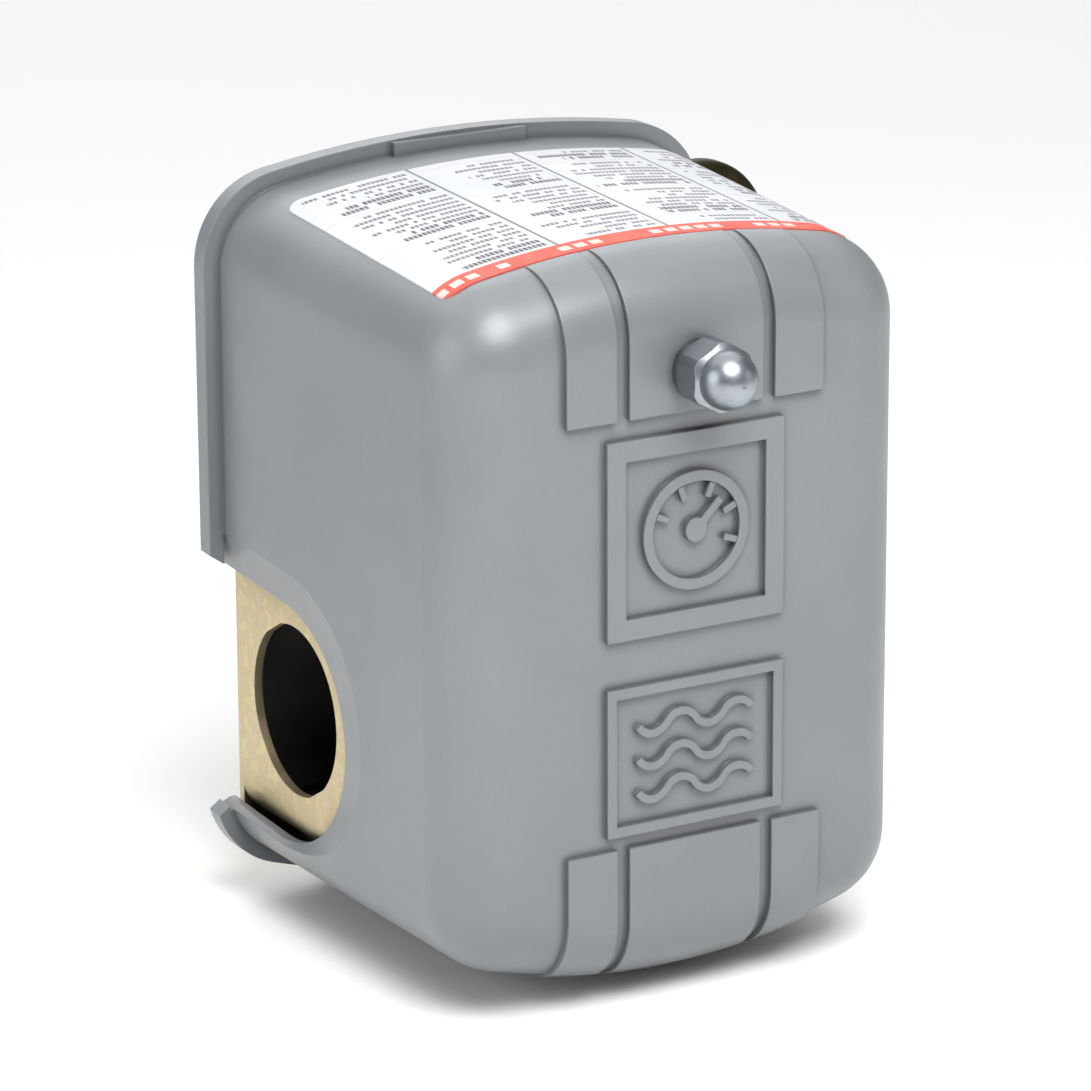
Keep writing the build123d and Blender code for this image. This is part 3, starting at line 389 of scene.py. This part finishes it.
def turned(name, dark, light, roughness):
    """Machined metal: fine turning rings along Y and a little tarnish."""
    s = Surface(name, metallic=1.0)
    normal, edge = s.rounded(0.12 * MM)
    pitch = 0.28 * MM
    _, y, _ = s.axes()
    rings = s.math("SINE", s.math("MULTIPLY", y, 2 * math.pi / pitch))
    color = s.between(s.noise(3 * MM, detail=5.0), dark, light)
    # Painted highlight: sharp edges are tinted lighter.
    color = s.tint(color, scaled(light, 1.1), edge, strength=0.4)
    rough = s.between(s.noise(1.2 * MM, detail=4.0), roughness - 0.06, roughness + 0.1)
    return s.finish(color, rough, s.bump(rings, 0.004 * MM, strength=0.35, normal=normal))


def label_columns(s, x):
    """(number, width, across): the column a point is in, and how far from its left edge."""
    edges = (label_low.x, *DIVIDERS, label_high.x)
    widths = [b - a for a, b in zip(edges, edges[1:])]
    past = [s.math("GREATER_THAN", x, divider) for divider in DIVIDERS]
    number, left, width = 0.0, label_low.x, widths[0]
    for column, mask in enumerate(past):
        number = s.math("ADD", number, mask)
        left = s.math("ADD", left, s.math("MULTIPLY", mask, widths[column]))
        change = widths[column + 1] - widths[column]
        width = s.math("ADD", width, s.math("MULTIPLY", mask, change))
    return number, width, s.math("SUBTRACT", x, left)


def printed_label():
    """White film with a coloured front band, column dividers and rows of plain grey bars."""
    s = Surface("label_print", roughness=0.45, specular=0.15)
    x, y, _ = s.axes()
    from_front = s.math("SUBTRACT", y, label_low.y)
    column, width, across = label_columns(s, x)

    # Rows of a block: heavy ones, then light ones, then a gap
    rows = s.math("DIVIDE", s.math("SUBTRACT", from_front, ROWS_START), ROW)
    row = s.math("FLOOR", rows)
    in_row = s.math("ABSOLUTE", s.math("SUBTRACT", s.math("FRACT", rows), 0.5))
    shifted_row = s.math("ADD", row, s.math("MULTIPLY", column, BLOCK_SHIFT))
    block_row = s.math("MODULO", shifted_row, BLOCK_ROWS)
    heavy = s.math("LESS_THAN", block_row, HEAVY_ROWS)
    gap = s.math("GREATER_THAN", block_row, GAP_ROW)
    half_height = s.math("ADD", LIGHT_HALF, s.math("MULTIPLY", heavy, HEAVY_HALF - LIGHT_HALF))
    on_row = s.math("LESS_THAN", in_row, half_height)

    # Each row is filled from the right, over a random share of the column
    row_random = s.random(s.vector(row, column, ROW_SEED))
    room = s.math("SUBTRACT", width, 2 * SIDE_MARGIN)
    share = s.math("ADD", SHORTEST, s.math("MULTIPLY", row_random, 1 - SHORTEST))
    from_right = s.math("SUBTRACT", width, across)
    inside = s.all_of(
        s.math("GREATER_THAN", from_right, SIDE_MARGIN),
        s.math("LESS_THAN", from_right, s.math("MULTIPLY", room, share)),
        s.math("GREATER_THAN", across, SIDE_MARGIN),
    )
    letters = s.math("DIVIDE", across, LETTER)
    letter = s.math("FLOOR", letters)
    in_letter = s.math("GREATER_THAN", s.math("FRACT", letters), LETTER_GAP)
    is_word = s.math("GREATER_THAN", s.random(s.vector(letter, row, column)), SPACES)
    behind_band = s.math("GREATER_THAN", rows, 0.0)
    before_edge = s.math("LESS_THAN", y, label_high.y - BACK_MARGIN)
    not_gap = s.math("SUBTRACT", 1.0, gap)
    ink = s.all_of(on_row, inside, in_letter, is_word, behind_band, before_edge, not_gap)

    # Dividers, a rule above each block, and pale bars in the band
    offsets = [s.math("ABSOLUTE", s.math("SUBTRACT", x, divider)) for divider in DIVIDERS]
    lines = [s.math("LESS_THAN", offset, DIVIDER_HALF) for offset in offsets]
    rule = s.all_of(gap, s.math("LESS_THAN", in_row, RULE_HALF), behind_band)
    in_band = s.math("LESS_THAN", from_front, BAND)
    bars = s.math("DIVIDE", x, BAND_BAR)
    bar_random = s.random(s.vector(s.math("FLOOR", bars), BAR_SEED))
    bar_front, bar_back = BAND_BAR_SPAN
    in_bar = s.all_of(
        s.math("GREATER_THAN", s.math("FRACT", bars), BAND_BAR_GAP),
        s.math("GREATER_THAN", bar_random, BAND_BARS_OUT),
        s.math("GREATER_THAN", from_front, bar_front),
        s.math("LESS_THAN", from_front, bar_back),
    )

    film = s.between(s.noise(14 * MM), *FILM)
    ink_tone = s.math("ADD", LIGHT_INK, s.math("MULTIPLY", heavy, HEAVY_INK - LIGHT_INK))
    ink_color = s.vector(ink_tone, ink_tone, s.math("ADD", ink_tone, INK_BLUE))
    faded = s.between(s.noise(0.4 * MM, detail=2.0), 0.7, 1.0)
    color = s.mix(s.math("MULTIPLY", ink, faded), film, ink_color)
    color = s.tint(color, RULE_GREY, rule, strength=0.5)
    color = s.mix(s.any_of(*lines), color, DIVIDER_GREY)
    red = s.between(s.noise(3 * MM), *RED)
    color = s.mix(in_band, color, s.tint(red, PALE_BAR, in_bar, strength=0.75))
    rough = s.between(s.noise(5 * MM), 0.42, 0.55)
    waves = s.bump(s.noise(6 * MM, detail=2.0), 0.03 * MM, strength=0.4)
    return s.finish(color, rough, waves)


def rubber():
    """Black rubber with a fine pebbled skin."""
    s = Surface("rubber_black", specular=0.3)
    color = s.between(s.noise(2 * MM, detail=4.0), (0.012, 0.012, 0.013), (0.03, 0.03, 0.03))
    rough = s.between(s.noise(4 * MM), 0.62, 0.82)
    return s.finish(color, rough, s.bump(s.cells(0.4 * MM), 0.03 * MM, strength=0.4))


def lacquered(name, dark, light):
    """Lacquer over metal, thin at the edges."""
    s = Surface(name, roughness=0.35)
    normal, edge = s.rounded(0.15 * MM)
    s.shader.inputs["Coat Weight"].default_value = 0.4
    color = s.between(s.noise(2 * MM, detail=4.0), dark, light)
    color = s.tint(color, (0.45, 0.5, 0.42), edge, strength=0.6)
    rough = s.between(s.noise(1 * MM), 0.28, 0.45)
    waves = s.bump(s.noise(0.8 * MM), 0.01 * MM, strength=0.5, normal=normal)
    return s.finish(color, rough, waves)


# Tints that a plated surface wanders between
ZINC = ((0.27, 0.30, 0.33), (0.33, 0.36, 0.39), (0.30, 0.32, 0.34), (0.38, 0.40, 0.42))
YELLOW = (
    (0.44, 0.41, 0.24),
    (0.61, 0.53, 0.31),
    (0.53, 0.45, 0.26),
    (0.62, 0.48, 0.35),
    (0.52, 0.48, 0.32),
)
# Dark bronze tones painted on the lug's bead as shade and dark reflection
BEAD_SHADE = ((0.018, 0.015, 0.006), (0.04, 0.024, 0.011), (0.026, 0.028, 0.009), (0.05, 0.035, 0.015))
WIRE = ((0.30, 0.30, 0.31), (0.44, 0.44, 0.45), (0.36, 0.36, 0.38))

# A material for each slot of the record
finishes = {
    "cover_plastic": moulded(
        "cover_grey",
        dark=(0.160, 0.169, 0.177),
        light=(0.184, 0.194, 0.203),
        roughness=0.36,
        edge_radius=0.28 * MM,
    ),
    "phenolic": moulded(
        "phenolic_black",
        dark=(0.014, 0.014, 0.015),
        light=(0.03, 0.03, 0.031),
        roughness=0.36,
        edge_radius=0.2 * MM,
    ),
    "carrier_plastic": moulded(
        "phenolic_brown",
        dark=(0.13, 0.032, 0.018),
        light=(0.19, 0.05, 0.028),
        roughness=0.4,
        edge_radius=0.2 * MM,
    ),
    "label_film": printed_label(),
    "zinc_steel": plated(
        "zinc_bright",
        ZINC,
        roughness=0.34,
        edge_radius=0.15 * MM,
        spots=4 * MM,
        haze_range=(-0.03, 0.05),
    ),
    "dichromate_steel": plated(
        "zinc_yellow",
        YELLOW,
        roughness=0.42,
        edge_radius=0.2 * MM,
        spots=2.2 * MM,
        metallic=0.9,
        bead=on_lug_bead,
        creasing=0.85,
    ),
    "spring_steel": plated(
        "spring_wire", WIRE, roughness=0.32, edge_radius=0.05 * MM, spots=3 * MM
    ),
    "brass": turned(
        "brass_bright", dark=(0.66, 0.44, 0.17), light=(0.83, 0.62, 0.30), roughness=0.26
    ),
    "silver": turned(
        "contact_silver", dark=(0.78, 0.77, 0.74), light=(0.90, 0.89, 0.87), roughness=0.22
    ),
    "rubber": rubber(),
    "green_screw": lacquered(
        "green_lacquer", dark=(0.012, 0.16, 0.05), light=(0.03, 0.27, 0.09)
    ),
}
for subpart in frame["record"]["subparts"]:
    node = nodes[subpart["node"]]
    node.data.materials.clear()
    node.data.materials.append(finishes[subpart["material_slot"]])


# Springs, each replaced by copies of its mesh
def spring_end(node, name, cut, keep_low):
    """A copy of a spring's mesh on one side of a cut across Y, capped."""
    mesh = nodes[node].data.copy()
    mesh.name = name
    work = bmesh.new()
    work.from_mesh(mesh)
    bmesh.ops.remove_doubles(work, verts=work.verts, dist=WELD)
    made = bmesh.ops.bisect_plane(
        work,
        geom=work.verts[:] + work.edges[:] + work.faces[:],
        plane_co=(0.0, cut, 0.0),
        plane_no=(0.0, 1.0, 0.0),
        clear_outer=keep_low,
        clear_inner=not keep_low,
    )
    rim = [e for e in made["geom_cut"] if isinstance(e, bmesh.types.BMEdge)]
    bmesh.ops.holes_fill(work, edges=rim)
    work.to_mesh(mesh)
    work.free()
    return placed(name, mesh)


def adjustable_spring(node, washer_body, wire):
    """The spring cut across Y into a washer's end and a seat's end, in place of the spring."""
    low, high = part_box(node)
    cut = (1 - SPRING_CUT) * low.y + SPRING_CUT * high.y
    washer_end = spring_end(node, node + "_washer_end", cut, keep_low=True)
    seat_end = spring_end(node, node + "_seat_end", cut, keep_low=False)
    for piece, body, end in (
        (washer_end, washer_body, low.y + wire),
        (seat_end, LEVER_BODY, high.y - wire),
    ):
        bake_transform(piece)
        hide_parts(node)


def toggle_spring():
    """A copy of the toggle spring in place of the original."""
    toggle = placed("toggle_spring_wire", nodes["toggle_spring"].data.copy())
    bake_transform(toggle)
    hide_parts("toggle_spring")


adjustable_spring("range_spring", "range_adjuster", RANGE_WIRE)
adjustable_spring("differential_spring", "differential_adjuster", DIFFERENTIAL_WIRE)
toggle_spring()

# Floor, as low as the switch reaches
floor_level = cad_box[0].z
floor_corners = ((-1, -1), (1, -1), (1, 1), (-1, 1))
floor_mesh = bpy.data.meshes.new("floor")
floor_mesh.from_pydata(
    [(FLOOR_HALF * x, FLOOR_HALF * y, floor_level) for x, y in floor_corners],
    [],
    [(0, 1, 2, 3)],
)
floor = placed("floor", floor_mesh)
paper = Surface("floor_paper", roughness=0.85, specular=0.2)
floor_mesh.materials.append(paper.finish(paper.between(paper.noise(0.5, detail=2.0), 0.90, 0.92)))

# Light: a dim even surround, soft boxes round the switch, a wide sun for an even floor, and a
# soft box over the floor before the switch, whose light comes back up to the cover's face
world = bpy.data.worlds.new("studio")
bpy.context.scene.world = world
world.use_nodes = True
surround = world.node_tree.nodes["Background"]
surround.inputs["Color"].default_value = (0.93, 0.96, 1.0, 1)
surround.inputs["Strength"].default_value = ROOM


def lamp(name, kind, power, direction, distance, target=middle):
    """A light that shines on a target from a direction; its data is returned."""
    light = bpy.data.lights.new(name, kind)
    light.energy = power
    holder = placed(name, light)
    towards = Vector(direction).normalized()
    holder.location = target + towards * distance
    holder.rotation_mode = "QUATERNION"
    holder.rotation_quaternion = towards.to_track_quat("Z", "Y")
    return light


def soft_box(name, width, power, direction, distance, target=middle):
    """A round light, aimed as a lamp is."""
    light = lamp(name, "AREA", power, direction, distance, target)
    light.shape = "DISK"
    light.size = width


before = middle + Vector((-0.05, -0.28, -0.05))  # on the floor, before the switch
soft_box("key", 0.9, power=4.7, direction=(-0.20, -0.62, 0.80), distance=1.3)
soft_box("left", 1.2, power=7.6, direction=(-1.0, 0.05, 0.3), distance=1.5)
soft_box("right", 0.8, power=1.2, direction=(0.85, -0.6, 0.3), distance=1.5)
soft_box("back", 1.3, power=4.5, direction=(0.35, 1.0, 0.5), distance=1.5)
sky = lamp("sky", "SUN", power=1.35, direction=(0.1, 0.5, 1.0), distance=2.0)
sky.angle = math.radians(80)
soft_box("table", 0.35, power=2.4, direction=(0.0, 0.0, 1.0), distance=0.42, target=before)

# Camera
yaw, pitch, roll = (math.radians(a) for a in (CAMERA_YAW, CAMERA_PITCH, CAMERA_ROLL))
level_right = Vector((math.cos(yaw), -math.sin(yaw), 0))
ahead = Vector(
    (math.sin(yaw) * math.cos(pitch), math.cos(yaw) * math.cos(pitch), -math.sin(pitch))
)
level_up = level_right.cross(ahead)
right = math.cos(roll) * level_right + math.sin(roll) * level_up
up = -math.sin(roll) * level_right + math.cos(roll) * level_up
camera_data = bpy.data.cameras.new("camera")
camera_data.lens = LENS
camera_data.sensor_width = SENSOR
camera_data.clip_start = NEAREST
camera_data.clip_end = FARTHEST
camera = placed("camera", camera_data)
camera.matrix_world = Matrix(
    (
        (right.x, up.x, -ahead.x, CAMERA_AT.x),
        (right.y, up.y, -ahead.y, CAMERA_AT.y),
        (right.z, up.z, -ahead.z, CAMERA_AT.z),
        (0, 0, 0, 1),
    )
)
bpy.context.scene.camera = camera
bpy.context.scene.view_settings.view_transform = "Standard"
